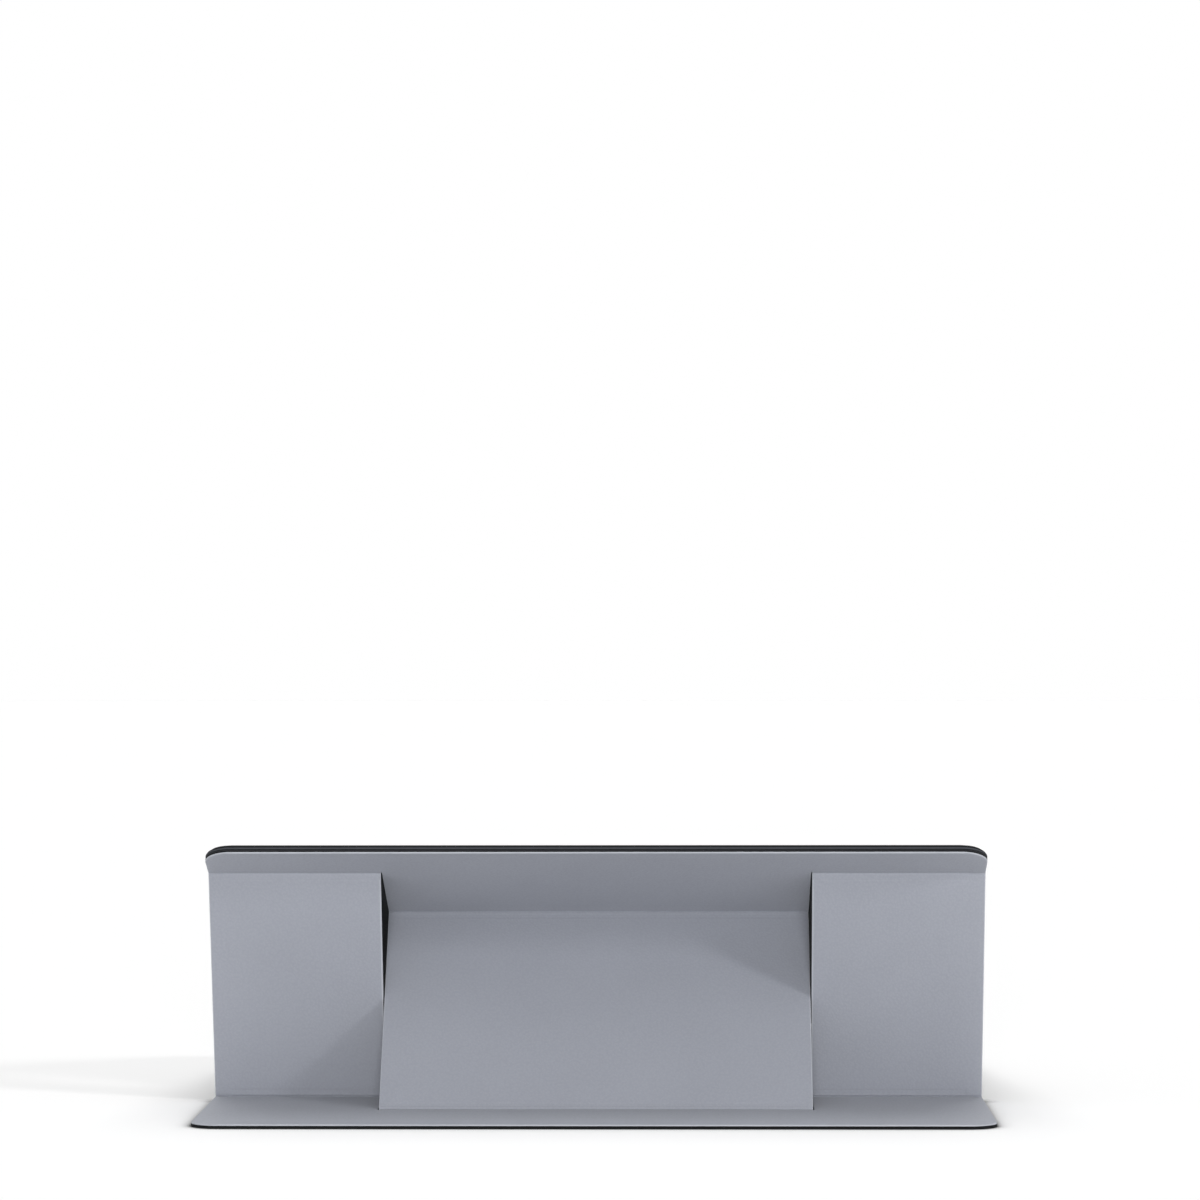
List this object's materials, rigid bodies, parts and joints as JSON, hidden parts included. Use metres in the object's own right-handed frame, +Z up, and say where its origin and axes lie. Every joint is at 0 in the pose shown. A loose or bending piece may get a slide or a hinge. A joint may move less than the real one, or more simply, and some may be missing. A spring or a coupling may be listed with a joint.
{
  "type": "adhesive laptop stand",
  "caption": "Thin folding stand that sticks under a laptop; its slit leaf folds into two legs, a crossing strut and a foot that tilt the laptop.",
  "frame": {"origin": "on the table under the middle of the opened-out stand, at the centre of its bounding box's underside", "axes": "+X across the stand to the right as seen from behind, +Y from the foot towards the user at the laptop's front edge, +Z up"},
  "size_m": [0.227, 0.1819, 0.0773],
  "materials": {
    "cover": "matte",
    "backing": "matte",
    "mount_cover": "matte",
    "stiffener": "matte",
    "board": "matte",
    "adhesive": "satin",
    "tape": "matte"
  },
  "bodies": {
    "mounting_leaf": {"adhesive_pad": "adhesive", "mount_board": "board", "mount_cover": "mount_cover", "bond_tape": "tape", "top_panel_cover": "cover", "top_panel_stiffener": "stiffener", "top_panel_backing": "backing"},
    "legs": {"left_leg_cover": "cover", "left_leg_stiffener": "stiffener", "left_leg_backing": "backing", "right_leg_cover": "cover", "right_leg_stiffener": "stiffener", "right_leg_backing": "backing", "left_leg_top_fold": "cover", "right_leg_top_fold": "cover"},
    "strut": {"strut_cover": "cover", "strut_stiffener": "stiffener", "strut_backing": "backing", "strut_top_fold": "cover"},
    "foot": {"foot_cover": "cover", "foot_stiffener": "stiffener", "foot_backing": "backing", "left_leg_foot_fold": "cover", "right_leg_foot_fold": "cover", "strut_foot_fold": "cover"}
  },
  "joints": [
    {"name": "legs_fold", "type": "hinge", "parent": "mounting_leaf", "child": "legs", "pos_m": [0, -0.03814, 0.06826], "axis": [1, 0, 0], "range_deg": [0, 50.78], "deforming": ["left_leg_top_fold", "right_leg_top_fold"]},
    {"name": "strut_fold", "type": "hinge", "parent": "mounting_leaf", "child": "strut", "pos_m": [0, -0.00845, 0.05504], "axis": [1, 0, 0], "range_deg": [0, 105.23], "deforming": ["strut_top_fold"]},
    {"name": "foot_fold", "type": "hinge", "parent": "legs", "child": "foot", "pos_m": [0, -0.01989, 0.0012], "axis": [1, 0, 0], "range_deg": [0, 105.23], "deforming": ["left_leg_foot_fold", "right_leg_foot_fold", "strut_foot_fold"]}
  ],
  "couplings": [
    {"joint": "strut_fold", "follows": "legs_fold", "ratio": 2.0721},
    {"joint": "foot_fold", "follows": "legs_fold", "ratio": 2.0721}
  ]
}
